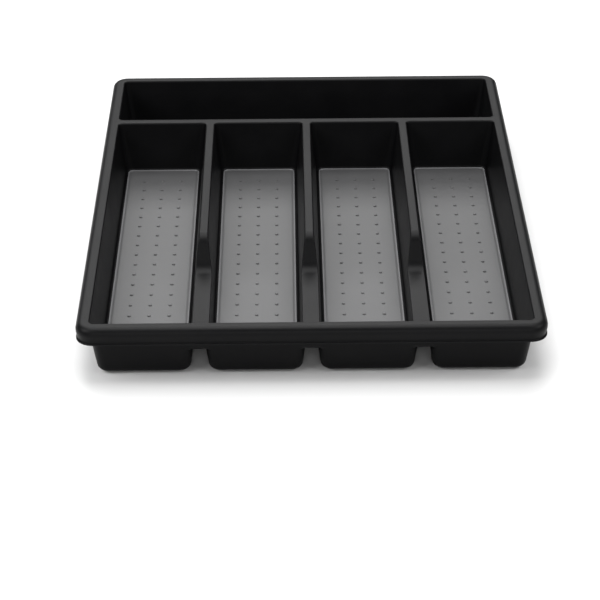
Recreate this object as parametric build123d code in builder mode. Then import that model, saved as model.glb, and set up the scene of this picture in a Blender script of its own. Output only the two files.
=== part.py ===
"""Five-compartment cutlery tray for a kitchen drawer, in millimetres.

A thin moulded shell hangs five tubs from one flat rim: four long tubs side by side and one across the
back. Each tub is lined with a soft grip mat, and the tray stands on round non-slip feet.
The origin is on the drawer floor under the middle of the tray: X to the right, Y to the back, Z up.
"""

import os
from math import radians, tan

from build123d import *

# Whole tray
width = 326.0
depth = 400.0
height = 45.0

# Moulded shell
wall = 2.0
floor_thickness = 2.3
draft_angle = 6.7  # how far each tub wall leans out
rim_width = 9.7  # flat band from the outer edge to the mouth of a tub
divider_width = 6.8  # the same band between two tubs
skirt_height = 12.5
outer_corner_radius = 12.0
rim_edge_radius = 3.5
mouth_edge_radius = 2.0
channel_radius = 1.5
skirt_lip_radius = 0.8
long_tub_count = 4
rear_tub_depth = 72.1  # front to back, at the mouth
mouth_corner_radius = 3.5
floor_corner_radius = 6.0
inner_floor_radius = 1.7
outer_floor_radius = 4.5

# Finger dips, where the long dividers drop towards the front
dip_depth = 22.5
dip_length = 118.8  # from the front wall to the head of the slope
dip_slope_angle = 60.0
dip_head_radius = 8.0
dip_foot_radius = 8.0
dip_front_radius = 3.0
dip_relief = 0.1  # how much deeper a dip is cut into the front wall than the tubs beside it

# Grip mats
mat_thickness = 1.5
mat_margin = 1.75  # bare floor left all round a mat
mat_edge_radius = 0.5
dome_diameter = 3.3
dome_height = 0.8
dome_pitch = 14.55
dome_margin = 14.0  # least distance from a mat's edge to the middle of a dome

# Non-slip feet
foot_diameter = 12.0
foot_height = 1.5
foot_edge_radius = 0.4
foot_inset = 22.0  # from the front mouth of a long tub to the middle of its foot

# Heights
top = height
skirt_bottom = top - skirt_height
tub_bottom = foot_height
floor_top = tub_bottom + floor_thickness
mat_top = floor_top + mat_thickness
dip_floor = top - dip_depth

# Places in plan
lean = tan(radians(draft_angle))
mouth_right = width / 2 - rim_width
mouth_back = depth / 2 - rim_width
mouth_front = -mouth_back
rear_tub_front = mouth_back - rear_tub_depth
long_tub_back = rear_tub_front - divider_width
long_tub_depth = long_tub_back - mouth_front
long_tub_width = (2 * mouth_right - (long_tub_count - 1) * divider_width) / long_tub_count
tub_pitch = long_tub_width + divider_width
long_tub_y = (long_tub_back + mouth_front) / 2
rear_tub_y = (rear_tub_front + mouth_back) / 2
long_tub_xs = [(i - (long_tub_count - 1) / 2) * tub_pitch for i in range(long_tub_count)]
divider_xs = [x + tub_pitch / 2 for x in long_tub_xs[:-1]]

# Each tub by name: its middle in plan and the size of its mouth
tubs = {str(i + 1): ((x, long_tub_y), (long_tub_width, long_tub_depth)) for i, x in enumerate(long_tub_xs)}
tubs["rear"] = ((0, rear_tub_y), (2 * mouth_right, rear_tub_depth))


def leaning_block(middle, mouth, bottom, corner_radii, edge_radius):
    """A block from the rim down to a height, with leaning walls and a rounded bottom edge."""
    shrink = 2 * (top - bottom) * lean
    with BuildPart() as block:
        with BuildSketch(Plane.XY.offset(top)):
            with Locations(middle):
                RectangleRounded(mouth[0], mouth[1], corner_radii[0])
        with BuildSketch(Plane.XY.offset(bottom)):
            with Locations(middle):
                RectangleRounded(mouth[0] - shrink, mouth[1] - shrink, corner_radii[1])
        loft(ruled=True)
        fillet(block.faces().sort_by(Axis.Z)[0].edges(), radius=edge_radius)
    return block.part


def dip_profile(drop, reach):
    """The corners of a long divider's top seen from the side, drop lower and reach further forward."""
    slope_run = dip_depth / tan(radians(dip_slope_angle))
    slope_head = mouth_front + dip_length + drop * tan(radians(dip_slope_angle / 2))
    return [
        (slope_head + 2 * dip_head_radius, top - drop),
        (slope_head, top - drop),
        (slope_head - slope_run, dip_floor - drop),
        (mouth_front + (dip_depth + drop) * lean - reach, dip_floor - drop),
        (mouth_front + drop * lean - reach, top - drop),
    ]


# Hollow under the rim, between the skirt and the tubs
with BuildPart() as channel:
    with BuildSketch(Plane.XY.offset(skirt_bottom)):
        RectangleRounded(width - 2 * wall, depth - 2 * wall, outer_corner_radius - wall)
    extrude(amount=skirt_height - wall)
    fillet(channel.faces().sort_by(Axis.Z)[-1].edges(), radius=channel_radius)

# How far to each side a dip and the wall under it reach: past the rounded corners of the tubs beside them
dip_reach = divider_width / 2 + dip_depth * lean + floor_corner_radius + wall

with BuildPart() as tray_shell:
    # Rim and skirt
    with BuildSketch(Plane.XY.offset(skirt_bottom)):
        RectangleRounded(width, depth, outer_corner_radius)
    extrude(amount=skirt_height)
    fillet(tray_shell.faces().sort_by(Axis.Z)[-1].edges(), radius=rim_edge_radius)
    add(channel.part, mode=Mode.SUBTRACT)
    fillet(tray_shell.faces().sort_by(Axis.Z)[0].edges(), radius=skirt_lip_radius)

    # Outside of each tub
    for middle, mouth in tubs.values():
        outside = (mouth[0] + 2 * wall, mouth[1] + 2 * wall)
        radii = (mouth_corner_radius + wall, floor_corner_radius + wall)
        add(leaning_block(middle, outside, tub_bottom, radii, outer_floor_radius))

    # Wall under each dip and up its front, solid to the rim until the dip is cut
    for x in divider_xs:
        with BuildSketch(Plane.YZ.offset(x)):
            with BuildLine():
                corners = dip_profile(wall, wall)
                underside = FilletPolyline(
                    *corners,
                    radius=[dip_head_radius - wall, dip_foot_radius + wall, dip_front_radius + wall],
                )
                inside_rim = top - wall / 2
                Polyline(
                    corners[0], (corners[0][0], inside_rim), (corners[-1][0], inside_rim), corners[-1]
                )
            make_face()
        extrude(amount=dip_reach, both=True)

    # Inside of each tub, and the rounded edge of its mouth
    for middle, mouth in tubs.values():
        radii = (mouth_corner_radius, floor_corner_radius)
        inside = leaning_block(middle, mouth, floor_top, radii, inner_floor_radius)
        add(inside, mode=Mode.SUBTRACT)
    rim_face = tray_shell.faces().sort_by(Axis.Z)[-1]
    fillet(rim_face.inner_wires().edges(), radius=mouth_edge_radius)

    # Space above each dip, whose front edge is rounded like the mouths beside it
    for x in divider_xs:
        with BuildSketch(Plane.YZ.offset(x)):
            with BuildLine():
                corners = dip_profile(0, dip_relief)
                rim_point = (corners[-1][0] - 2 * mouth_edge_radius, top)
                surface = FilletPolyline(
                    *corners,
                    rim_point,
                    radius=[dip_head_radius, dip_foot_radius, dip_front_radius, mouth_edge_radius],
                )
                Polyline(rim_point, (rim_point[0], top + wall), (corners[0][0], top + wall), corners[0])
            make_face()
        extrude(amount=dip_reach, both=True, mode=Mode.SUBTRACT)
tray_shell.part.label = "tray_shell"

# One raised dome of a grip mat, standing on the mat's top
dome_radius = dome_diameter / 2
ball_radius = (dome_radius**2 + dome_height**2) / (2 * dome_height)
with BuildPart() as dome:
    with BuildSketch(Plane.XZ):
        with BuildLine():
            RadiusArc((dome_radius, 0), (0, dome_height), -ball_radius)
            Polyline((0, dome_height), (0, 0), (dome_radius, 0))
        make_face()
    revolve(axis=Axis.Z)

# Grip mats, one on the floor of each tub
mats = []
for name, (middle, mouth) in tubs.items():
    size = [side - 2 * (top - floor_top) * lean - 2 * mat_margin for side in mouth]
    counts = [int((side - 2 * dome_margin) / dome_pitch) + 1 for side in size]
    with BuildPart() as mat:
        with BuildSketch(Plane.XY.offset(floor_top)):
            with Locations(middle):
                RectangleRounded(size[0], size[1], floor_corner_radius - mat_margin)
        extrude(amount=mat_thickness)
        fillet(mat.faces().sort_by(Axis.Z)[-1].edges(), radius=mat_edge_radius)
        with Locations((middle[0], middle[1], mat_top)):
            with GridLocations(dome_pitch, dome_pitch, counts[0], counts[1]):
                add(dome.part)
    mat.part.label = f"grip_mat_{name}"
    mats.append(mat.part)

# Non-slip feet, four under the fronts of the long tubs and four under the rear tub
feet = []
for row, y in (("front", mouth_front + foot_inset), ("rear", rear_tub_y)):
    for number, x in enumerate(long_tub_xs, start=1):
        with BuildPart() as foot:
            with BuildSketch():
                with Locations((x, y)):
                    Circle(foot_diameter / 2)
            extrude(amount=foot_height)
            fillet(foot.faces().sort_by(Axis.Z)[0].edges(), radius=foot_edge_radius)
        foot.part.label = f"foot_{row}_{number}"
        feet.append(foot.part)

os.makedirs("parts", exist_ok=True)
for part in [tray_shell.part, *mats, *feet]:
    export_step(part, f"parts/{part.label}.step")
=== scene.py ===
"""Looks of a five-compartment cutlery tray: a black moulded shell, grey soft grip mats and non-slip feet.

Sizes are in millimetres until a mesh is made, and metres from there on. Inside the shell's own
classes, heights count down from the top of the rim, and the middle of the tray is the origin in plan.
"""

import logging
import math
from collections.abc import Iterable, Sequence
from dataclasses import dataclass, field
from enum import Enum

import bmesh
import bpy
from mathutils import Euler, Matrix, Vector

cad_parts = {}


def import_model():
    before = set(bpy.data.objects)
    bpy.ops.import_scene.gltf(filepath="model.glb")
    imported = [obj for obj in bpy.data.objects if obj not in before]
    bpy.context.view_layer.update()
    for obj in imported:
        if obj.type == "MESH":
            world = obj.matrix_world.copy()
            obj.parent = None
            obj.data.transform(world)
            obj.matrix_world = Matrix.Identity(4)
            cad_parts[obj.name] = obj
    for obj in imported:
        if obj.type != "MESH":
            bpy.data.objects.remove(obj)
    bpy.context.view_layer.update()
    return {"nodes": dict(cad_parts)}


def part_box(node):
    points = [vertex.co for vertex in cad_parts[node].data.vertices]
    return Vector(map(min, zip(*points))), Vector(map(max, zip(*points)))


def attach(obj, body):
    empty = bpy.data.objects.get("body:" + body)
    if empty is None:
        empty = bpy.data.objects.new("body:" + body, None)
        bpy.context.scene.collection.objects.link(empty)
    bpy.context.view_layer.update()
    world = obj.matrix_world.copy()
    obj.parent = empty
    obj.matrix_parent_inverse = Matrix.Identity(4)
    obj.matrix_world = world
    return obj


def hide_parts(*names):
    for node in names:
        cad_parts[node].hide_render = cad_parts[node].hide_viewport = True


log = logging.getLogger("cutlery_tray")
MM = 0.001
WELD_STEPS = 1000  # points that fall on the same step, this many to a millimetre, are one point
NEAR = 0.01  # how far off a line, in millimetres, a point may lie and still count as on it

Point = tuple[float, float, float]
Grid = list[list[Point]]


def lerp(a: float, b: float, t: float) -> float:
    """The value a share t of the way from a to b."""
    return a + (b - a) * t


def mix_points(a: Point, b: Point, t: float) -> Point:
    """The point a share t of the way from a to b."""
    return (lerp(a[0], b[0], t), lerp(a[1], b[1], t), lerp(a[2], b[2], t))


def spread(start: float, end: float, pieces: int) -> list[float]:
    """Evenly spaced values from start to end, both included.

    Args:
        start: The first value.
        end: The last value.
        pieces: How many steps lie between them.

    Returns:
        pieces + 1 values.
    """
    return [lerp(start, end, i / pieces) for i in range(pieces + 1)]


def blend_corner(start: Point, corner: Point, end: Point, t: float) -> Point:
    """A point on the round that replaces a corner, as a circle's arc is drawn by a rational curve.

    Args:
        start: Where the round leaves the first face.
        corner: The sharp corner that it replaces.
        end: Where the round meets the second face.
        t: The share of the way along the round, from 0 to 1.

    Returns:
        The point on the round.
    """
    weight = math.sqrt(0.5)
    parts = ((1 - t) ** 2, 2 * t * (1 - t) * weight, t**2)
    total = sum(parts)
    return tuple(
        (parts[0] * a + parts[1] * b + parts[2] * c) / total for a, b, c in zip(start, corner, end)
    )


class PatchMesh:
    """A mesh that is put together from grids of points and welded where they meet."""

    def __init__(self) -> None:
        """Starts with no points and no faces."""
        self.points: list[Point] = []
        self.faces: list[tuple[int, ...]] = []
        self.known: dict[tuple[int, ...], int] = {}

    def point(self, place: Point) -> int:
        """Finds or adds the point at a place.

        Args:
            place: The place.

        Returns:
            The point's number, which is new only if no point is there yet.
        """
        key = tuple(round(value * WELD_STEPS) for value in place)
        if key not in self.known:
            self.known[key] = len(self.points)
            self.points.append(place)
        return self.known[key]

    def face(self, corners: Iterable[Point], flip: bool = False) -> None:
        """Adds one face, without the corners that fall together.

        Args:
            corners: The face's corners in order.
            flip: Whether the face looks the other way.
        """
        numbers: list[int] = []
        for corner in corners:
            number = self.point(corner)
            if number not in numbers:
                numbers.append(number)
        if len(numbers) > 2:
            self.faces.append(tuple(reversed(numbers)) if flip else tuple(numbers))

    def grid(self, rows: Grid, flip: bool = False) -> None:
        """Adds the quads between neighbouring rows of points.

        Args:
            rows: The rows, all with the same number of points.
            flip: Whether the faces look the other way.
        """
        for low, high in zip(rows, rows[1:]):
            for i in range(len(low) - 1):
                self.face((low[i], low[i + 1], high[i + 1], high[i]), flip)

    def build(self, name: str, lift: float) -> bpy.types.Object:
        """Makes the Blender object.

        Args:
            name: The object's name.
            lift: How far the whole mesh is raised, in millimetres.

        Returns:
            The object, linked to the scene and shaded smooth.
        """
        mesh = bpy.data.meshes.new(name)
        places = [(x * MM, y * MM, (z + lift) * MM) for x, y, z in self.points]
        mesh.from_pydata(places, [], self.faces)
        mesh.validate()
        mesh.shade_smooth()
        piece = bpy.data.objects.new(name, mesh)
        bpy.context.scene.collection.objects.link(piece)
        return piece


@dataclass(frozen=True)
class Loop:
    """The numbering of points round a rounded rectangle, the same at every height and inset.

    Points run round the corners and along the sides, counterclockwise from the front left corner.

    Attributes:
        middle: The rectangle's middle in plan.
        half: Half its width and half its depth.
        xs: Places of points along the front and back sides.
        ys: Places of points along the left and right sides.
        turns: How many steps go round each corner.
    """

    middle: tuple[float, float]
    half: tuple[float, float]
    xs: tuple[float, ...]
    ys: tuple[float, ...]
    turns: int

    def points(self, inset: float, radius: float, height: float) -> list[Point]:
        """The closed loop at one inset, with its first point repeated at the end.

        Args:
            inset: How far the loop lies inside the rectangle.
            radius: The radius of its corners.
            height: Its height.

        Returns:
            The points in order.
        """
        (mx, my), (hx, hy) = self.middle, (self.half[0] - inset, self.half[1] - inset)
        loop: list[Point] = []
        corners = ((-1, -1, 180), (1, -1, 270), (1, 1, 0), (-1, 1, 90))
        sides = (self.xs, self.ys, tuple(reversed(self.xs)), tuple(reversed(self.ys)))
        for number, ((sx, sy, start), side) in enumerate(zip(corners, sides)):
            centre = (mx + sx * (hx - radius), my + sy * (hy - radius))
            for angle in spread(math.radians(start), math.radians(start + 90), self.turns):
                place = (centre[0] + radius * math.cos(angle), centre[1] + radius * math.sin(angle))
                loop.append((*place, height))
            for value in side:
                if number % 2 == 0:
                    held = max(mx - hx + radius, min(mx + hx - radius, value))
                    loop.append((held, my + sy * hy, height))
                else:
                    held = max(my - hy + radius, min(my + hy - radius, value))
                    loop.append((mx + sx * hx, held, height))
        return [*loop, loop[0]]


def linear(code: str) -> tuple[float, float, float, float]:
    """Turns an sRGB colour to a linear one.

    Args:
        code: A hex code such as #1A2B3C.

    Returns:
        Red, green, blue and an alpha of 1.
    """
    channels = [int(code[i : i + 2], 16) / 255 for i in (1, 3, 5)]
    straight = [c / 12.92 if c <= 0.04045 else ((c + 0.055) / 1.055) ** 2.4 for c in channels]
    return (*straight, 1.0)


def add_node(
    material: bpy.types.Material,
    kind: str,
    settings: dict[str, object] | None = None,
    links: dict[str, bpy.types.NodeSocket] | None = None,
) -> bpy.types.Node:
    """Adds one node to a material.

    Args:
        material: The material that gets the node.
        kind: The node's type, such as ShaderNodeTexNoise.
        settings: Values by name, for the node's own properties or for its input sockets.
        links: The socket that feeds each named input.

    Returns:
        The new node.
    """
    tree = material.node_tree
    node = tree.nodes.new(kind)
    for name, value in (settings or {}).items():
        if name in node.inputs:
            node.inputs[name].default_value = value
        else:
            setattr(node, name, value)
    for name, source in (links or {}).items():
        tree.links.new(source, node.inputs[name])
    return node


def per_metre(size_mm: float) -> float:
    """The texture scale that makes one feature size_mm across."""
    return 1.0 / (size_mm * MM)


@dataclass(frozen=True)
class MouldedFinish:
    """A moulded polymer: its colour, how it takes light, and the grain that the mould gave it.

    Attributes:
        name: The material's name.
        colour: Its base colour.
        clouded: The colour of its slightly paler patches.
        ior: Its index of refraction.
        specular: How strongly it reflects at its surface, with 0.5 as the plain value.
        roughness: The lowest and highest roughness over the surface.
        cloud_mm: The size of the paler patches.
        grain_mm: The size of the grain.
        grain_depth_mm: The depth of the grain.
        sink_mm: The width of the shallow waves that cooling leaves.
        sink_depth_mm: The depth of those waves.
        sheen: How much soft backscatter its surface has.
    """

    name: str
    colour: str
    clouded: str
    ior: float
    specular: float
    roughness: tuple[float, float]
    cloud_mm: float
    grain_mm: float
    grain_depth_mm: float
    sink_mm: float
    sink_depth_mm: float
    sheen: float = 0.0

    def make(self) -> bpy.types.Material:
        """Builds the node material.

        Returns:
            The material.
        """
        material = bpy.data.materials.new(self.name)
        material.use_nodes = True
        material.node_tree.nodes.clear()
        place = add_node(material, "ShaderNodeTexCoord").outputs["Object"]
        clouds = add_node(
            material,
            "ShaderNodeTexNoise",
            {"Scale": per_metre(self.cloud_mm), "Detail": 5.0, "Roughness": 0.6},
            {"Vector": place},
        ).outputs["Fac"]
        tone = add_node(material, "ShaderNodeValToRGB", {}, {"Fac": clouds})
        tone.color_ramp.elements[0].position = 0.35
        tone.color_ramp.elements[0].color = linear(self.colour)
        tone.color_ramp.elements[1].position = 0.75
        tone.color_ramp.elements[1].color = linear(self.clouded)
        gloss = add_node(
            material,
            "ShaderNodeMapRange",
            {"To Min": self.roughness[0], "To Max": self.roughness[1]},
            {"Value": clouds},
        ).outputs["Result"]
        sink = add_node(
            material,
            "ShaderNodeTexNoise",
            {"Scale": per_metre(self.sink_mm), "Detail": 1.0},
            {"Vector": place},
        ).outputs["Fac"]
        grain = add_node(
            material,
            "ShaderNodeTexNoise",
            {"Scale": per_metre(self.grain_mm), "Detail": 3.0, "Roughness": 0.65},
            {"Vector": place},
        ).outputs["Fac"]
        waves = add_node(
            material,
            "ShaderNodeBump",
            {"Strength": 1.0, "Distance": self.sink_depth_mm * MM},
            {"Height": sink},
        ).outputs["Normal"]
        relief = add_node(
            material,
            "ShaderNodeBump",
            {"Strength": 1.0, "Distance": self.grain_depth_mm * MM},
            {"Height": grain, "Normal": waves},
        ).outputs["Normal"]
        shader = add_node(
            material,
            "ShaderNodeBsdfPrincipled",
            {"IOR": self.ior, "Specular IOR Level": self.specular, "Sheen Weight": self.sheen},
            {"Base Color": tone.outputs["Color"], "Roughness": gloss, "Normal": relief},
        )
        add_node(material, "ShaderNodeOutputMaterial", {}, {"Surface": shader.outputs["BSDF"]})
        return material


class Finish(Enum):
    """The polymers of the tray."""

    # Injection-moulded polypropylene coloured with carbon black: near black, with a satin sheen where it
    # turns to the light. The real spark-eroded grain is about 0.1 mm and is drawn at 0.9 mm to show.
    SHELL = MouldedFinish(
        name="black_moulded_polypropylene",
        colour="#060607",
        clouded="#0A0A0B",
        ior=1.49,
        specular=0.1,
        roughness=(0.38, 0.48),
        cloud_mm=28.0,
        grain_mm=0.9,
        grain_depth_mm=0.02,
        sink_mm=45.0,
        sink_depth_mm=0.05,
    )
    # Thermoplastic elastomer pressed into a mat: mid grey, soft and matt, with a fine dry bloom. Its real
    # grain is about 0.1 mm and is drawn at 0.8 mm to show.
    GRIP = MouldedFinish(
        name="grey_grip_elastomer",
        colour="#3B3B3C",
        clouded="#3E3E3F",
        ior=1.5,
        specular=0.5,
        roughness=(0.53, 0.58),
        cloud_mm=16.0,
        grain_mm=0.8,
        grain_depth_mm=0.03,
        sink_mm=60.0,
        sink_depth_mm=0.02,
        sheen=0.08,
    )
    # The same elastomer along a mat's lip, painted paler as a highlight where the edge catches the light;
    # the mould's polished edge leaves it smoother.
    LIP_HIGHLIGHT = MouldedFinish(
        name="grey_grip_elastomer_painted_highlight_lip",
        colour="#5A5A5C",
        clouded="#606062",
        ior=1.5,
        specular=0.5,
        roughness=(0.42, 0.5),
        cloud_mm=12.0,
        grain_mm=0.8,
        grain_depth_mm=0.02,
        sink_mm=60.0,
        sink_depth_mm=0.02,
        sheen=0.08,
    )
    # The same elastomer in dark grey, moulded as a small pad: matt, so that it grips the drawer.
    FOOT = MouldedFinish(
        name="dark_foot_elastomer",
        colour="#2A2A2B",
        clouded="#313132",
        ior=1.5,
        specular=0.4,
        roughness=(0.6, 0.75),
        cloud_mm=5.0,
        grain_mm=0.5,
        grain_depth_mm=0.03,
        sink_mm=8.0,
        sink_depth_mm=0.02,
    )
    # The matt paper that a product studio lays as its floor, in a very pale grey.
    PAPER = MouldedFinish(
        name="matt_white_paper",
        colour="#CCCCCC",
        clouded="#CFCFCF",
        ior=1.45,
        specular=0.2,
        roughness=(0.85, 0.95),
        cloud_mm=300.0,
        grain_mm=2.0,
        grain_depth_mm=0.01,
        sink_mm=400.0,
        sink_depth_mm=0.02,
    )


def dress(piece: bpy.types.Object, material: bpy.types.Material) -> None:
    """Gives a piece one material in place of those that it has."""
    piece.data.materials.clear()
    piece.data.materials.append(material)


@dataclass
class GripMat:
    """One soft mat: a plate with a lip round it, painted paler as a highlight, a groove inside that and a
    field of domes.

    Attributes:
        node: The CAD node that the mat stands for.
        thickness: The plate's thickness.
        corner_radius: The radius of its corners in plan.
        edge_radius: The radius of its upper edge.
        lip_rise: How far the lip along the mat's edge stands above the field.
        lip_round: Rows round the lip's inner edge, as distance from the groove and depth.
        groove_inset: From the mat's edge to the groove.
        groove_width: The width of the groove.
        groove_depth: The depth of the groove.
        groove_shape: Points across the groove, as shares of its width from the lip and of its depth.
        dome_diameter: The width of a dome.
        dome_height: The height of a dome.
        dome_shares: The radii of a dome's rings, as shares of its own.
        dome_toe: The rings round a dome's foot, as a share of its radius and a height.
        pitch: From dome to dome, both ways.
        margin: The least distance from the mat's edge to the middle of a dome.
        lower_chamfer: The bevel of its lower edge.
        least_radius: The smallest corner radius of any row inside the mat's edge.
        cell_steps: How many quads lie along one side of a dome's square of field.
        edge_steps: How many steps go round the mat's upper edge.
        corner_turns: How many steps go round each corner of the mat.
        lip_faces: The numbers of the faces of the lip, once the mat is made.
    """

    node: str
    thickness: float = 1.5
    corner_radius: float = 4.25
    edge_radius: float = 0.5
    lip_rise: float = 0.2
    lip_round: tuple[tuple[float, float], ...] = ((0.08, 0.07), (0.22, 0.0))
    groove_inset: float = 0.8
    groove_width: float = 2.4
    groove_depth: float = 0.5
    groove_shape: tuple[tuple[float, float], ...] = (
        (1.0, 0.0), (0.82, 0.06), (0.6, 0.3), (0.4, 0.65), (0.24, 0.96), (0.1, 1.0), (0.03, 0.8),
    )
    dome_diameter: float = 2.5
    dome_height: float = 0.8
    dome_shares: tuple[float, ...] = (0.3, 0.58, 0.8, 0.92, 0.98)
    dome_toe: tuple[tuple[float, float], ...] = ((1.05, 0.02), (1.2, 0.0), (1.6, 0.0))
    pitch: float = 14.55
    margin: float = 14.0
    lower_chamfer: float = 0.1
    least_radius: float = 0.6
    cell_steps: int = 6
    edge_steps: int = 4
    corner_turns: int = 6
    lip_faces: range = range(0)

    def dome_rings(self) -> list[tuple[float, float]]:
        """The rings of a dome and its toe.

        Returns:
            Radius and height above the field of each ring, from the crown out.
        """
        radius, height = self.dome_diameter / 2, self.dome_height
        rings = [(radius * s, height * math.sqrt(1 - s**4)) for s in self.dome_shares]
        return rings + [(radius * share, rise) for share, rise in self.dome_toe]

    def add_cell(self, mesh: PatchMesh, middle: tuple[float, float], top: float) -> None:
        """Adds one dome and the square of field round it.

        Args:
            mesh: The mesh that gets it.
            middle: The dome's middle in plan.
            top: The height of the field.
        """
        half, steps = self.pitch / 2, self.cell_steps
        side = spread(-half, half, steps)
        square = [(x, -half) for x in side[:-1]] + [(half, y) for y in side[:-1]]
        square += [(-x, half) for x in side[:-1]] + [(-half, -y) for y in side[:-1]]
        square.append(square[0])
        angles = spread(math.radians(225), math.radians(585), 4 * steps)
        rows = [
            [(middle[0] + r * math.cos(a), middle[1] + r * math.sin(a), top + rise) for a in angles]
            for r, rise in self.dome_rings()
        ]
        rows.append([(middle[0] + x, middle[1] + y, top) for x, y in square])
        mesh.grid(rows, flip=True)
        mesh.face(rows[0][:-1])

    def make(self, field_finish: bpy.types.Material, lip_highlight_finish: bpy.types.Material) -> bpy.types.Object:
        """Builds the mat where the CAD node lies, and dresses it.

        Args:
            field_finish: The material of the mat.
            lip_highlight_finish: The material of its lip, painted paler than the field as a highlight.

        Returns:
            The mat.
        """
        low, high = (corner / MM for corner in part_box(self.node))
        middle = ((low.x + high.x) / 2, (low.y + high.y) / 2)
        half = ((high.x - low.x) / 2, (high.y - low.y) / 2)
        top = low.z + self.thickness
        counts = [int((2 * side - 2 * self.margin) / self.pitch) + 1 for side in half]
        block = [count * self.pitch / 2 for count in counts]
        mesh = PatchMesh()
        for i in range(counts[0]):
            for j in range(counts[1]):
                cell_x = middle[0] - block[0] + (i + 0.5) * self.pitch
                cell_y = middle[1] - block[1] + (j + 0.5) * self.pitch
                self.add_cell(mesh, (cell_x, cell_y), top)
        self.add_border(mesh, middle, half, block, counts, top)
        piece = mesh.build(f"{self.node}_relief", 0.0)
        dress(piece, field_finish)
        piece.data.materials.append(lip_highlight_finish)
        # The lip's faces take the paler elastomer, a painted highlight along the mat's edge.
        for number in self.lip_faces:
            piece.data.polygons[number].material_index = 1
        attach(piece, "root")
        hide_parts(self.node)
        return piece

    def add_border(
        self,
        mesh: PatchMesh,
        middle: tuple[float, float],
        half: tuple[float, float],
        block: Sequence[float],
        counts: Sequence[int],
        top: float,
    ) -> None:
        """Adds the plain field round the domes, the groove, the edge and the underside.

        Args:
            mesh: The mesh that gets them.
            middle: The mat's middle in plan.
            half: Half its width and half its depth.
            block: Half the width and half the depth of the field of domes.
            counts: How many domes lie along each side.
            top: The height of the field.
        """
        skip = self.corner_turns // 2
        ends = [spread(-b, b, n * self.cell_steps) for b, n in zip(block, counts)]
        xs, ys = ([m + v for v in side[skip + 1 : -skip - 1]] for m, side in zip(middle, ends))
        loop = Loop(middle, half, tuple(xs), tuple(ys), self.corner_turns)
        xe, ye = ([m + v for v in side] for m, side in zip(middle, ends))
        inner: list[Point] = [(xe[0], y, top) for y in reversed(ye[1 : skip + 1])]
        inner += [(x, ye[0], top) for x in xe] + [(xe[-1], y, top) for y in ye[1:]]
        inner += [(x, ye[-1], top) for x in reversed(xe[:-1])]
        inner += [(xe[0], y, top) for y in reversed(ye[skip:-1])]
        width, depth, inset = self.groove_width, self.groove_depth, self.groove_inset
        profile = [(inset + width * across, top - depth * down) for across, down in self.groove_shape]
        crest, radius, bottom = top + self.lip_rise, self.edge_radius, top - self.thickness
        lip_start = len(profile)
        profile += [(inset - back, crest - sunk) for back, sunk in self.lip_round]
        for angle in spread(90, 0, self.edge_steps):
            reach, rise = math.cos(math.radians(angle)), math.sin(math.radians(angle))
            profile.append((radius * (1 - reach), crest - radius * (1 - rise)))
        profile += [(0.0, bottom + self.lower_chamfer), (self.lower_chamfer, bottom)]
        rows = [inner]
        for edge, z in profile:
            rows.append(loop.points(edge, max(self.least_radius, self.corner_radius - edge), z))
        mesh.grid(rows[: lip_start + 1], flip=True)
        first = len(mesh.faces)
        mesh.grid(rows[lip_start:-2], flip=True)
        self.lip_faces = range(first, len(mesh.faces))
        mesh.grid(rows[-3:], flip=True)
        mesh.face(rows[-1][:-1], flip=True)


@dataclass
class Foot:
    """One round non-slip foot, with rings moulded into the face that stands on the drawer.

    Attributes:
        node: The CAD node that the foot stands for.
        ridges: The inner and outer radius of each raised ring, as shares of the foot's radius.
        ring_depth: How deep the face is sunk between the rings.
        shoulder: How far each ring's round edge reaches.
        edge: The radius of the round at the foot's lower edge.
        edge_steps: How many steps that round has.
        top_round: Inset and depth of each row round the foot's upper edge.
        columns: How many points lie round the foot.
    """

    node: str
    ridges: tuple[tuple[float, float], ...] = ((0.0, 0.16), (0.36, 0.54), (0.74, 0.9))
    ring_depth: float = 0.35
    shoulder: float = 0.12
    edge: float = 0.4
    edge_steps: int = 4
    top_round: tuple[tuple[float, float], ...] = ((0.0, 0.3), (0.1, 0.08), (0.3, 0.0))
    columns: int = 48

    def profile(self, radius: float, height: float) -> list[tuple[float, float]]:
        """The rings of points of a foot.

        Args:
            radius: The foot's radius.
            height: Its height.

        Returns:
            Radius and height of each ring, from the middle of the lower face to the top.
        """
        rows: list[tuple[float, float]] = []
        shoulder, flank, toe = self.shoulder, 0.3 * self.shoulder, 1.5 * self.shoulder
        for start, end in self.ridges:
            if start > 0:
                rows.append((start * radius - toe, self.ring_depth))
                rows.append((start * radius - flank, shoulder))
                rows.append((start * radius + shoulder, 0.0))
            rows.append((end * radius - shoulder, 0.0))
            if end * radius + self.edge < radius - self.edge:
                rows.append((end * radius + flank, shoulder))
                rows.append((end * radius + toe, self.ring_depth))
        for angle in spread(0.0, math.pi / 2, self.edge_steps):
            rise = self.edge * (1 - math.cos(angle))
            rows.append((radius - self.edge * (1 - math.sin(angle)), rise))
        return rows + [(radius - inset, height - depth) for inset, depth in self.top_round]

    def make(self) -> bpy.types.Object:
        """Builds the foot where the CAD node lies.

        Returns:
            The foot.
        """
        low, high = (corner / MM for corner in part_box(self.node))
        middle = ((low.x + high.x) / 2, (low.y + high.y) / 2)
        angles = spread(0.0, 2 * math.pi, self.columns)
        mesh = PatchMesh()
        rows = [
            [(middle[0] + r * math.cos(a), middle[1] + r * math.sin(a), low.z + z) for a in angles]
            for r, z in self.profile((high.x - low.x) / 2, high.z - low.z)
        ]
        mesh.grid(rows)
        mesh.face(rows[0][:-1], flip=True)
        mesh.face(rows[-1][:-1])
        piece = mesh.build(f"{self.node}_pad", 0.0)
        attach(piece, "root")
        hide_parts(self.node)
        return piece


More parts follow.
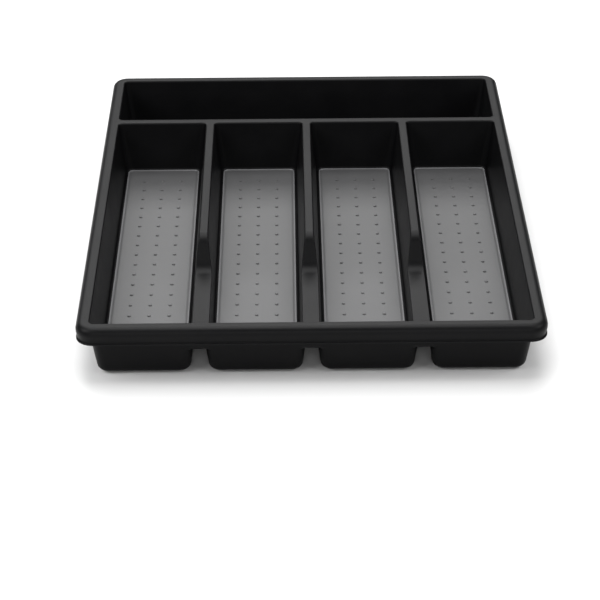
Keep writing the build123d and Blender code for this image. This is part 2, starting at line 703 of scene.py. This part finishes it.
@dataclass(frozen=True)
class Skin:
    """One face of the moulded wall, either the one that is seen from above or the one underneath.

    Attributes:
        drop: How far this face lies under the upper one.
        lean: How far a wall moves inwards for each millimetre of depth.
        mouth_radius: The radius of the edge between the rim and a tub's wall.
        base_radius: The radius between a tub's wall and its floor.
        floor_depth: The depth of the floors.
        corner_radii: The radius of a tub's corners in plan, at the rim and at the floor.
    """

    drop: float
    lean: float
    mouth_radius: float
    base_radius: float
    floor_depth: float
    corner_radii: tuple[float, float]

    @property
    def draft(self) -> float:
        """The lean as an angle."""
        return math.atan(self.lean)

    def wall_inset(self, z: float) -> float:
        """How far a tub's wall lies inside the line of its mouth at a height."""
        return -self.lean * z - self.drop

    def corner_radius(self, inset: float, z: float) -> float:
        """The radius of a tub's corner in plan, for a row at an inset and a height."""
        plain = lerp(*self.corner_radii, -z / self.floor_depth)
        return plain + self.wall_inset(z) - inset

    def mouth_rows(self, steps: int) -> list[tuple[float, float]]:
        """The rows round the edge of a mouth.

        Args:
            steps: How many steps the round has.

        Returns:
            Inset and height of each row, from the rim to the wall.
        """
        radius, draft = self.mouth_radius, self.draft
        start = self.lean * (self.drop + radius) - self.drop - radius / math.cos(draft)
        return [
            (start + radius * math.cos(a), -self.drop - radius * (1 - math.sin(a)))
            for a in spread(math.pi / 2, draft, steps)
        ]

    def hollow_rows(self, floor: float, radius: float, steps: int) -> list[tuple[float, float]]:
        """Inset and height of each row of the round between a leaning wall and a level face.

        Args:
            floor: The height of the level face.
            radius: The round's radius.
            steps: How many steps it has.

        Returns:
            The rows from the wall to the level face.
        """
        centre = (radius - math.sin(self.draft) * (floor + radius)) / math.cos(self.draft) - self.drop
        return [
            (centre + radius * math.cos(a), floor + radius + radius * math.sin(a))
            for a in spread(math.pi + self.draft, 1.5 * math.pi, steps)
        ]


@dataclass
class Dip:
    """The line of a long divider's top where it drops to the low front part, on one skin.

    Attributes:
        skin: The skin.
        front: Where the mouth's front line lies.
        half_width: Half the divider's width at the rim.
        depth: How far the divider drops.
        length: From the front line to the head of the slope.
        slope: The slope's angle.
        bend_radius: The radius at the head and the foot of the slope.
        front_radius: The radius between the low part and the front wall.
        low_edge_radius: The radius of the divider's long edges along the low part.
        edge_fade: How deep the divider has dropped once its edges have that radius.
        edge_steps: How many steps go round the divider's long edges.
        bend_steps: How many steps each bend of the slope has.
    """

    skin: Skin
    front: float
    half_width: float
    depth: float = 22.5
    length: float = 118.8
    slope: float = math.radians(60)
    bend_radius: float = 11.0
    front_radius: float = 3.0
    low_edge_radius: float = 0.5
    edge_fade: float = 8.0
    edge_steps: int = 5
    bend_steps: int = 8

    @property
    def level(self) -> float:
        """The height of the low part."""
        return -self.depth - self.skin.drop

    def section(self, y: float, z: float, tilt: float) -> list[Point]:
        """Half the divider's cross section, from its middle over the rounded edge to the wall.

        Args:
            y: Where the middle of the section lies.
            z: Its height.
            tilt: The slope's angle there.

        Returns:
            Points in order, measured from the divider's middle.
        """
        share = min(1.0, (-self.skin.drop - z) / self.edge_fade)
        mouth_radius = self.skin.mouth_radius
        radius = lerp(mouth_radius, min(mouth_radius, self.low_edge_radius), share)
        draft = math.atan(self.skin.lean * math.cos(tilt))
        half = self.half_width + self.skin.wall_inset(z)
        flat = half - radius * (1 - math.sin(draft)) / math.cos(draft)
        points: list[Point] = [(0.0, y, z)]
        for a in spread(math.pi / 2, draft, self.edge_steps):
            sunk = radius * (1 - math.sin(a))
            points.append(
                (flat + radius * math.cos(a), y + math.sin(tilt) * sunk, z - math.cos(tilt) * sunk)
            )
        return points

    def slope_sections(self) -> list[list[Point]]:
        """The divider's shape along its slope.

        Returns:
            The cross sections from the head of the slope to its foot.
        """
        drop, half = self.skin.drop, math.tan(self.slope / 2)
        head, foot = self.bend_radius - drop, self.bend_radius + drop
        head_y = self.front + self.length + drop * half + head * half
        foot_y = self.front + self.length - self.depth / math.tan(self.slope) + drop * half - foot * half
        turns = spread(0.0, self.slope, self.bend_steps)
        line = [(head_y - head * math.sin(t), -drop - head * (1 - math.cos(t)), t) for t in turns]
        tail = [
            (foot_y + foot * math.sin(t), self.level + foot * (1 - math.cos(t)), t)
            for t in reversed(turns)
        ]
        line.append(tuple((a + b) / 2 for a, b in zip(line[-1], tail[0])))
        return [self.section(*place) for place in line + tail]

    def seam(self) -> tuple[float, float, float]:
        """The corner of a tub beside the low part.

        Returns:
            The middle of the corner's round in x and y, and its radius.
        """
        z = self.section(0.0, self.level, 0.0)[-1][2]
        inset = self.skin.wall_inset(z)
        radius = self.skin.corner_radius(inset, z)
        return (self.half_width + inset + radius, self.front + inset + radius, radius)

    def front_rows(self, turns: int) -> list[list[Point]]:
        """Half cross sections where the low part flares out round the tubs' corners into the front wall.

        Args:
            turns: How many rows there are, as many as the steps of a tub's corner.

        Returns:
            The rows, the last of which lies in the front wall.
        """
        middle_x, middle_y, radius = self.seam()
        first = self.section(middle_y, self.level, 0.0)
        low, flat = first[-1][2], first[1][0]
        rise = self.skin.hollow_rows(self.level, self.front_radius + self.skin.drop, turns - 2)
        rise = [(self.front + inset, z) for inset, z in reversed(rise)]
        profile = [(middle_y, self.level), ((middle_y + rise[0][0]) / 2, self.level), *rise]
        bend = [
            (middle_x - radius * math.cos(a), middle_y - radius * math.sin(a), low)
            for a in spread(0.0, math.pi / 2, turns)
        ]
        ends: list[Point] = []
        for share in spread(0.0, 1.0, self.edge_steps):
            start = (flat, 0.0, profile[-1][1])
            x, _, z = blend_corner(start, (middle_x, 0.0, profile[-1][1]), (middle_x, 0.0, low), share)
            ends.append((x, self.front + self.skin.wall_inset(z), z))
        rows: list[list[Point]] = []
        for q in range(1, turns + 1):
            v, row = q / turns, [(0.0, *profile[q])]
            for c in range(self.edge_steps + 1):
                u = c / self.edge_steps
                along = mix_points(first[c + 1], ends[c], v)
                across = mix_points((flat, *profile[q]), bend[q], u)
                both = mix_points(
                    mix_points(first[1], first[-1], u), mix_points(ends[0], ends[-1], u), v
                )
                row.append(tuple(a + b - k for a, b, k in zip(along, across, both)))
            rows.append(row)
        return rows


@dataclass
class TrayShell:
    """The one moulded shell: rim, skirt, dividers with their dips, and the tubs.

    Attributes:
        node: The CAD node that the shell stands for.
        wall: The thickness of its walls.
        floor_thickness: The thickness of its floors.
        foot_height: How far the feet hold the floors off the drawer.
        draft: How far each tub wall leans, in degrees.
        rim_width: The flat band from the outer edge to a mouth.
        divider_width: The flat band between two tubs.
        skirt_height: The height of the skirt.
        corner_radius: The radius of the tray's corners in plan.
        rim_radius: The radius of the rim's outer edge.
        mouth_radius: The radius of the edge of each mouth.
        under_mouth_radius: The same radius on the under face.
        channel_radius: The radius under the rim, inside the skirt.
        tub_corner_radii: The radius of a tub's corners in plan, at the rim and at the floor.
        floor_radii: The radius between wall and floor, inside a tub and outside it.
        long_tubs: How many long tubs there are.
        rear_tub_depth: The rear tub's size from front to back.
        skirt_brow: Inset of the skirt's first row, and how far it lies under the rim's round.
        skirt_rows: Inset and height above its lower edge, down the skirt and over its ledge.
        lip_rows: Distance from the skirt's inner face and height above its lower edge, going up.
        flat_run: The flat run of mesh beside the rim's round and below the hollow's.
        spine_inset: Where the mesh of the rim is divided, from the outer edge.
        floor_ring: From the foot of a tub's wall to the last ring of points on its floor.
        least_radius: The smallest corner radius of that ring.
        seam_gap: From each end of a divider's low part to its nearest column of points.
        column_gap: The least distance from a corner's round to a column of points.
        tub_span: How far columns of points reach to either side of the middle of a narrow side.
        ridge_ys: Where the columns of points behind the slopes begin and end.
        low_steps: How many steps of columns lie along a divider's low part.
        ridge_steps: How many lie behind the slopes.
        span_steps: How many lie along a narrow side.
        wall_steps: How many steps of rows go down a wall below the divider's low part.
        base_steps: How many go round from wall to floor.
        rim_steps: How many go round the rim's outer edge.
        channel_steps: How many go round the hollow under the rim.
        corner_turns: How many steps go round each corner in plan.
        weld: How near two points of the finished mesh may lie before they are joined.
        mesh: The mesh that the shell is put together in.
    """

    node: str = "tray_shell"
    wall: float = 2.0
    floor_thickness: float = 2.3
    foot_height: float = 1.5
    draft: float = 6.7
    rim_width: float = 9.7
    divider_width: float = 6.8
    skirt_height: float = 12.5
    corner_radius: float = 12.0
    rim_radius: float = 5.0
    mouth_radius: float = 1.3
    under_mouth_radius: float = 0.3
    channel_radius: float = 1.5
    tub_corner_radii: tuple[float, float] = (3.5, 6.0)
    floor_radii: tuple[float, float] = (2.6, 4.5)
    long_tubs: int = 4
    rear_tub_depth: float = 72.1
    skirt_brow: tuple[float, float] = (0.06, 1.0)
    skirt_rows: tuple[tuple[float, float], ...] = (
        (0.45, 3.9), (0.85, 1.9), (0.9, 1.6), (0.86, 1.38), (0.74, 1.24), (0.5, 1.13), (0.26, 1.04),
        (0.07, 0.95), (0.0, 0.8), (0.0, 0.4), (0.06, 0.15), (0.25, 0.02), (0.5, 0.0),
    )
    lip_rows: tuple[tuple[float, float], ...] = ((0.5, 0.0), (0.12, 0.12), (0.0, 0.5), (0.0, 5.0))
    flat_run: float = 0.6
    spine_inset: float = 5.7
    floor_ring: float = 6.0
    least_radius: float = 0.8
    seam_gap: float = 5.0
    column_gap: float = 0.7
    tub_span: float = 23.0
    ridge_ys: tuple[float, float] = (-58.0, 98.0)
    low_steps: int = 8
    ridge_steps: int = 17
    span_steps: int = 6
    wall_steps: int = 4
    base_steps: int = 5
    rim_steps: int = 7
    channel_steps: int = 4
    corner_turns: int = 6
    weld: float = 0.004
    mesh: PatchMesh = field(default_factory=PatchMesh)

    def __post_init__(self) -> None:
        """Works out the places of the tubs and of the rim's spine from the size of the CAD node."""
        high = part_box(self.node)[1] / MM
        self.half = (high.x, high.y)
        self.height = high.z
        self.mouth = (high.x - self.rim_width, high.y - self.rim_width)
        self.rear_front = self.mouth[1] - self.rear_tub_depth
        self.cross_line = self.rear_front - self.divider_width / 2
        self.long_back = self.rear_front - self.divider_width
        gaps = (self.long_tubs - 1) * self.divider_width
        self.tub_width = (2 * self.mouth[0] - gaps) / self.long_tubs
        self.pitch = self.tub_width + self.divider_width
        self.spine_line = (self.half[0] - self.spine_inset, self.spine_inset - self.half[1])

    def skins(self) -> tuple[Skin, Skin]:
        """Works out both faces of the moulded wall.

        Returns:
            The upper face and the under face.
        """
        lean = math.tan(math.radians(self.draft))
        depth = self.height - self.foot_height
        inside_depth = depth - self.floor_thickness
        inner_radii = self.tub_corner_radii
        outer_radii = tuple(radius + self.wall for radius in inner_radii)
        return (
            Skin(0.0, lean, self.mouth_radius, self.floor_radii[0], inside_depth, inner_radii),
            Skin(self.wall, lean, self.under_mouth_radius, self.floor_radii[1], depth, outer_radii),
        )

    def profile(self, skin: Skin, dip: Dip) -> tuple[list[tuple[float, float]], int, int]:
        """Inset and height of each row down a tub.

        Args:
            skin: The skin.
            dip: Its dips, whose sections set the rows' heights.

        Returns:
            The rows, the row where the wall starts, and the row at the low part of a divider.
        """
        rows = skin.mouth_rows(dip.edge_steps)
        wall_row = len(rows) - 1
        for section in dip.slope_sections()[1:]:
            rows.append((skin.wall_inset(section[-1][2]), section[-1][2]))
        low_row = len(rows) - 1
        base = skin.hollow_rows(-skin.floor_depth, skin.base_radius, self.base_steps)
        for z in spread(rows[-1][1], base[0][1], self.wall_steps)[1:-1]:
            rows.append((skin.wall_inset(z), z))
        return rows + base, wall_row, low_row

    def tub_rows(self, skin: Skin, loop: Loop, rows: Sequence[tuple[float, float]]) -> Grid:
        """Places the points of a tub's rows.

        Args:
            skin: The skin.
            loop: The tub's columns.
            rows: Inset and height of each row.

        Returns:
            The rows of points, from the edge of the mouth to a ring on the floor.
        """
        grid = [loop.points(inset, skin.corner_radius(inset, z), z) for inset, z in rows]
        inset, z = rows[-1]
        radius = max(self.least_radius, skin.corner_radius(inset, z) - self.floor_ring)
        return [*grid, loop.points(inset + self.floor_ring, radius, z)]

    def deck_row(self, loop: Loop, edge: list[Point], lines: Sequence[float]) -> list[Point]:
        """The points of the rim round one tub, half way to the next tub or to the tray's edge.

        Args:
            loop: The tub's columns.
            edge: The row along the edge of its mouth.
            lines: Where the rim is divided to the left, in front, to the right and behind.

        Returns:
            One point for each of the edge's points.
        """
        left, front, right, back = lines
        turns, nx, ny = loop.turns, len(loop.xs), len(loop.ys)
        corner_x, corner_y = (side - self.corner_radius for side in self.half)
        round_radius = self.corner_radius - self.spine_inset
        row: list[Point] = []
        corners = (((left, front), 180), ((right, front), 270), ((right, back), 0), ((left, back), 90))
        for number, (corner, start) in enumerate(corners):
            first = len(row)
            ends = (edge[first], edge[first + turns])
            on_side = [(corner[0], e[1]) if (number + i) % 2 == 0 else (e[0], corner[1])
                       for i, e in enumerate(ends)]
            rounded = abs(corner[0]) > corner_x and abs(corner[1]) > corner_y
            for step in range(turns + 1):
                share = 2 * step / turns
                angle = math.radians(start + 90 * step / turns)
                if rounded:
                    x = math.copysign(corner_x, corner[0]) + round_radius * math.cos(angle)
                    y = math.copysign(corner_y, corner[1]) + round_radius * math.sin(angle)
                elif share <= 1:
                    x, y = (lerp(a, b, share) for a, b in zip(on_side[0], corner))
                else:
                    x, y = (lerp(a, b, share - 1) for a, b in zip(corner, on_side[1]))
                row.append((x, y, edge[0][2]))
            for _ in range(nx if number % 2 == 0 else ny):
                x, y, z = edge[len(row)]
                row.append([(x, front, z), (right, y, z), (x, back, z), (left, y, z)][number])
        return [*row, row[0]]

    def add_tub(
        self,
        skin: Skin,
        dip: Dip,
        loop: Loop,
        lines: Sequence[float],
        dips: tuple[bool, bool],
        slope_column: int,
    ) -> list[Point]:
        """Adds one tub and the rim half way to its neighbours.

        Args:
            skin: The skin.
            dip: Its dips.
            loop: The tub's columns.
            lines: Where the rim is divided to the left, in front, to the right and behind.
            dips: Whether the divider to the left and the one to the right has a dip.
            slope_column: Which of the loop's ys is the head of the slope.

        Returns:
            The points where its part of the rim ends.
        """
        rows, wall_row, low_row = self.profile(skin, dip)
        grid = self.tub_rows(skin, loop, rows)
        sections = dip.slope_sections()
        seam_x = dip.seam()[0]
        turns = loop.turns
        right_corner = turns + 1 + len(loop.xs)
        right_slope = right_corner + turns + 1 + slope_column
        left_slope = len(grid[0]) - 1 - slope_column - 1
        removed: set[int] = set()
        if dips[0]:
            removed |= {*range(left_slope, len(grid[0]) - 1), *range(turns)}
        if dips[1]:
            removed |= {*range(right_corner, right_slope)}
        grid.insert(0, self.deck_row(loop, grid[0], lines))
        for number, row in enumerate(grid):
            y = sections[max(0, min(number - 1 - wall_row, len(sections) - 1))][-1][1]
            for has_dip, column in zip(dips, (left_slope, right_slope)):
                if has_dip:
                    row[column] = (row[column][0], y, row[column][2])
            if dips[0] and number <= low_row:
                row[turns] = (lines[0] + seam_x, row[turns + 1][1], row[turns][2])
            if dips[1] and number <= low_row:
                row[right_corner] = (lines[2] - seam_x, row[right_corner - 1][1], row[right_corner][2])
        under = skin.drop > 0
        for number, (low, high) in enumerate(zip(grid, grid[1:])):
            for i in range(len(low) - 1):
                if number <= low_row and i in removed:
                    continue
                self.mesh.face((low[i], low[i + 1], high[i + 1], high[i]), under)
        self.mesh.face(grid[-1][:-1], under)
        columns = len(grid[0]) - 1
        return [
            point for i, point in enumerate(grid[0][:-1]) if not {i, (i - 1) % columns} <= removed
        ]

    def add_divider_dip(self, skin: Skin, dip: Dip, x: float, ys: Iterable[float]) -> list[Point]:
        """Adds the sloping and low parts of one divider, and the front wall and rim before them.

        Args:
            skin: The skin.
            dip: Its dips.
            x: Where the divider's middle lies.
            ys: The places of the sections on the low part, from back to front.

        Returns:
            The points where its part of the rim ends.
        """
        under = skin.drop > 0
        halves = dip.slope_sections() + [dip.section(y, dip.level, 0.0) for y in ys]
        halves.append(dip.section(dip.seam()[1], dip.level, 0.0))
        halves += dip.front_rows(self.corner_turns)
        rows = [[(-a, b, c) for a, b, c in reversed(half[1:])] + half for half in halves]
        rows = [[(x + a, b, c) for a, b, c in row] for row in rows]
        self.mesh.grid(rows, not under)
        seam_x, foot_row = dip.seam()[0], rows[-1]
        across = spread(x - seam_x, x + seam_x, len(foot_row) - 1)
        edge = skin.mouth_rows(dip.edge_steps)
        front = [[(a, self.spine_line[1], -skin.drop) for a in across]]
        front += [[(a, dip.front + inset, z) for a in across] for inset, z in edge]
        levels = [section[-1][2] for section in dip.slope_sections()]
        for level in levels[1:]:
            share = (level - levels[0]) / (levels[-1] - levels[0])
            row: list[Point] = []
            for top_x, foot in zip(across, foot_row):
                z = lerp(levels[0], foot[2], share)
                row.append((lerp(top_x, foot[0], share), dip.front + skin.wall_inset(z), z))
            front.append(row)
        self.mesh.grid(front, under)
        return front[0]

    def ring_order(self, place: Point) -> tuple[float, float]:
        """The key that sorts the points of the rim's spine counterclockwise.

        Args:
            place: A point of the spine.

        Returns:
            Its side or corner, as an angle from the front left corner, and its place along that side.
        """
        x, y = place[0], place[1]
        out_x, out_y = self.outward(place)
        angle = round(math.degrees(math.atan2(out_y, out_x)), 3)
        along = x * -out_y + y * out_x
        # A hair more than 90 keeps the front, at -90 degrees, first however the angle was rounded.
        return ((angle + 90.001) % 360, along)

    def outward(self, place: Point) -> tuple[float, float]:
        """Which way is straight out of the tray.

        Args:
            place: A point of the rim's spine.

        Returns:
            The direction in x and y, one long.
        """
        core = [side - self.corner_radius for side in self.half]
        away = [value - max(-c, min(c, value)) for value, c in zip(place, core)]
        length = math.hypot(*away)
        return (away[0] / length, away[1] / length)

    def ring(self, spine: Iterable[Point], rows: Iterable[tuple[float, float]]) -> Grid:
        """Rows of points round the tray.

        Args:
            spine: The points of the rim's spine, in any order.
            rows: Inset and height of each row.

        Returns:
            The rows, each with its first point repeated at the end.
        """
        known = {(round(x, 3), round(y, 3)): (x, y, z) for x, y, z in spine}
        order = sorted(known.values(), key=self.ring_order)
        order.append(order[0])
        grid: Grid = []
        for inset, z in rows:
            row: list[Point] = []
            for place in order:
                out_x, out_y = self.outward(place)
                reach = self.spine_inset - inset
                row.append((place[0] + out_x * reach, place[1] + out_y * reach, z))
            grid.append(row)
        return grid

    def on_spine(self, place: Point) -> bool:
        """Tests whether a point of the rim lies on the ring that runs round the tray.

        Args:
            place: The point.

        Returns:
            Whether it lies on the ring.
        """
        core = [side - self.corner_radius for side in self.half]
        away = [value - max(-c, min(c, value)) for value, c in zip(place, core)]
        return abs(math.hypot(*away) - (self.corner_radius - self.spine_inset)) < NEAR

    def add_skirt(self, upper: Sequence[Point], under: Sequence[Point]) -> None:
        """Adds the rim's outer edge, the skirt with its ledge and lip, and the hollow inside it.

        Args:
            upper: The spine's points on the upper face.
            under: The spine's points on the under face.
        """
        radius, bottom = self.rim_radius, -self.skirt_height
        outside = [(self.spine_inset, 0.0), (radius + self.flat_run, 0.0)]
        outside += [
            (radius * (1 - math.cos(a)), -radius * (1 - math.sin(a)))
            for a in spread(math.pi / 2, 0.0, self.rim_steps)
        ]
        outside.append((self.skirt_brow[0], -radius - self.skirt_brow[1]))
        outside += [(inset, bottom + rise) for inset, rise in self.skirt_rows]
        inside = [(self.wall - out, bottom + rise) for out, rise in self.lip_rows]
        inside.append((self.wall, -self.wall - self.channel_radius - self.flat_run))
        for a in spread(math.pi, math.pi / 2, self.channel_steps):
            across = self.wall + self.channel_radius * (1 + math.cos(a))
            inside.append((across, -self.wall - self.channel_radius * (1 - math.sin(a))))
        inside.append((self.spine_inset, -self.wall))
        outer, inner = self.ring(upper, outside), self.ring(under, inside)
        log.info("rim: %d and %d columns", len(outer[0]), len(inner[0]))
        self.mesh.grid([*outer, *inner], flip=True)

    def dip(self, skin: Skin) -> Dip:
        """The dips of the long dividers on one skin."""
        return Dip(skin, -self.mouth[1], self.divider_width / 2)

    def side_places(self, middle: float) -> tuple[float, ...]:
        """The places of points along a narrow side of a tub, from its middle."""
        return tuple(middle + step for step in spread(-self.tub_span, self.tub_span, self.span_steps))

    def add_long_tubs(self, skin: Skin) -> list[Point]:
        """Adds the long tubs and the dips of the dividers between them.

        Args:
            skin: The skin.

        Returns:
            The points where their part of the rim ends.
        """
        rim: list[Point] = []
        dip = self.dip(skin)
        line_x, line_y = self.spine_line
        foot_y = dip.slope_sections()[-1][-1][1]
        low_ys = spread(dip.seam()[1] + self.seam_gap, foot_y - self.seam_gap, self.low_steps)
        ys = (*low_ys, foot_y, *spread(*self.ridge_ys, self.ridge_steps))
        middle_y = (self.long_back - self.mouth[1]) / 2
        half = (self.tub_width / 2, (self.long_back + self.mouth[1]) / 2)
        for i in range(self.long_tubs):
            x = (i - (self.long_tubs - 1) / 2) * self.pitch
            loop = Loop((x, middle_y), half, self.side_places(x), ys, self.corner_turns)
            dips = (i > 0, i < self.long_tubs - 1)
            left = x - self.pitch / 2 if dips[0] else -line_x
            right = x + self.pitch / 2 if dips[1] else line_x
            lines = (left, line_y, right, self.cross_line)
            rim += self.add_tub(skin, dip, loop, lines, dips, len(low_ys))
            if dips[1]:
                rim += self.add_divider_dip(skin, dip, right, reversed(low_ys))
        return rim

    def add_rear_tub(self, skin: Skin, long_rim: Iterable[Point]) -> list[Point]:
        """Adds the rear tub, with a column of points for each of those along the long tubs' backs.

        Args:
            skin: The skin.
            long_rim: The points where the long tubs' part of the rim ends.

        Returns:
            The points where its part of the rim ends.
        """
        line_x, line_y = self.spine_line
        middle_y = (self.rear_front + self.mouth[1]) / 2
        on_cross = {round(p[0], 6) for p in long_rim if abs(p[1] - self.cross_line) < NEAR}
        reach = self.mouth[0] - self.tub_corner_radii[0] - self.column_gap
        xs = tuple(sorted(value for value in on_cross if abs(value) < reach))
        half = (self.mouth[0], self.rear_tub_depth / 2)
        loop = Loop((0.0, middle_y), half, xs, self.side_places(middle_y), self.corner_turns)
        lines = (-line_x, self.cross_line, line_x, -line_y)
        return self.add_tub(skin, self.dip(skin), loop, lines, (False, False), 0)

    def make(self) -> bpy.types.Object:
        """Builds the shell.

        Returns:
            The shell.
        """
        spines: list[list[Point]] = []
        for skin in self.skins():
            rim = self.add_long_tubs(skin)
            rim += self.add_rear_tub(skin, rim)
            spines.append([point for point in rim if self.on_spine(point)])
        self.add_skirt(*spines)
        piece = self.mesh.build(f"{self.node}_moulding", self.height)
        shape = bmesh.new()
        shape.from_mesh(piece.data)
        bmesh.ops.remove_doubles(shape, verts=shape.verts, dist=self.weld * MM)
        shape.to_mesh(piece.data)
        shape.free()
        smooth = piece.modifiers.new("even_reflections", "WEIGHTED_NORMAL")
        smooth.weight = 60  # above 50, larger faces count more
        smooth.keep_sharp = False
        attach(piece, "root")
        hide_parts(self.node)
        return piece


@dataclass
class Studio:
    """The plain pale floor, the soft lights and the camera.

    Attributes:
        floor_half: Half the floor's side, in metres.
        camera_place: Where the camera stands, in metres.
        camera_pitch: How far it looks down, in degrees.
        camera_turn: How far it looks to the right, in degrees.
        camera_roll: How far it leans to the right, in degrees.
        lens: Its focal length, in millimetres.
        sensor: The width of its sensor, in millimetres.
        even_light: The strength of the light that comes from all round.
    """

    floor_half: float = 12.0
    camera_place: Point = (-0.0166, -1.324, 0.7733)
    camera_pitch: float = 32.09
    camera_turn: float = 0.43
    camera_roll: float = 0.29
    lens: float = 117.62
    sensor: float = 36.0
    even_light: float = 0.12

    def add_floor(self) -> None:
        """Lays the floor that the tray stands on."""
        mesh = PatchMesh()
        half = self.floor_half / MM
        steps = spread(-half, half, 4)
        mesh.grid([[(x, y, 0.0) for x in steps] for y in steps])
        floor = mesh.build("studio_floor", 0.0)
        dress(floor, Finish.PAPER.value.make())

    def add_light(
        self, name: str, place: Point, aim: Point, size: tuple[float, float], power: float
    ) -> None:
        """Hangs one softbox.

        Args:
            name: Its name.
            place: Where it hangs, in metres.
            aim: What it points at, in metres.
            size: Its width and height, in metres.
            power: Its power, in watts.
        """
        data = bpy.data.lights.new(name, "AREA")
        data.shape = "RECTANGLE"
        data.size, data.size_y = size
        data.energy = power
        light = bpy.data.objects.new(name, data)
        light.location = place
        light.rotation_euler = (Vector(aim) - Vector(place)).to_track_quat("-Z", "Y").to_euler()
        bpy.context.scene.collection.objects.link(light)

    def add_lights(self) -> None:
        """Hangs softboxes behind and overhead for the tops to reflect, two keys and a low fill."""
        world = bpy.data.worlds.new("studio_air")
        world.use_nodes = True
        air = world.node_tree.nodes["Background"].inputs
        air["Color"].default_value = linear("#FFFFFF")
        air["Strength"].default_value = self.even_light
        bpy.context.scene.world = world
        tray, front = (0.0, 0.0, 0.02), (0.0, -0.1, 0.0)
        self.add_light("rear_softbox", (-0.3, 2.3, 1.85), tray, (2.8, 1.3), 60.0)
        self.add_light("high_rear_softbox", (0.0, 1.5, 2.4), tray, (2.4, 1.0), 10.0)
        self.add_light("overhead_softbox", (-0.1, 0.35, 2.4), tray, (1.3, 1.9), 60.0)
        self.add_light("left_key_softbox", (-0.9, -0.5, 0.9), front, (0.8, 0.6), 12.0)
        self.add_light("right_key_softbox", (0.9, -0.5, 0.9), front, (0.8, 0.6), 9.0)
        self.add_light("low_fill_softbox", (0.0, -2.4, 0.9), tray, (2.0, 1.0), 18.0)

    def add_camera(self) -> None:
        """Sets up the camera."""
        data = bpy.data.cameras.new("camera")
        data.lens = self.lens
        data.sensor_width = self.sensor
        camera = bpy.data.objects.new("camera", data)
        camera.location = self.camera_place
        turned = Euler((math.radians(90 - self.camera_pitch), 0.0, -math.radians(self.camera_turn)))
        lean = Euler((0.0, 0.0, -math.radians(self.camera_roll)))
        camera.rotation_euler = (turned.to_matrix() @ lean.to_matrix()).to_euler()
        bpy.context.scene.collection.objects.link(camera)
        bpy.context.scene.camera = camera

    def make(self) -> None:
        """Sets up the floor, the lights and the camera."""
        self.add_camera()
        self.add_floor()
        self.add_lights()
        bpy.context.scene.view_settings.view_transform = "Standard"


def main() -> None:
    """Builds the tray's pieces in order and dresses them."""
    logging.basicConfig(level=logging.INFO, format="%(name)s: %(message)s")
    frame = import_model()
    Studio().make()
    # The lip's elastomer is painted paler than the field, as a highlight along each mat's edge.
    grip, lip = Finish.GRIP.value.make(), Finish.LIP_HIGHLIGHT.value.make()
    shell, foot = Finish.SHELL.value.make(), Finish.FOOT.value.make()
    for node in sorted(frame["nodes"]):
        if node.startswith("grip_mat"):
            mat = GripMat(node).make(grip, lip)
            log.info("%s: %d faces", mat.name, len(mat.data.polygons))
        elif node.startswith("foot"):
            pad = Foot(node).make()
            dress(pad, foot)
            log.info("%s: %d faces", pad.name, len(pad.data.polygons))
    body = TrayShell().make()
    dress(body, shell)
    log.info("%s: %d faces", body.name, len(body.data.polygons))


if __name__ == "__main__":
    main()
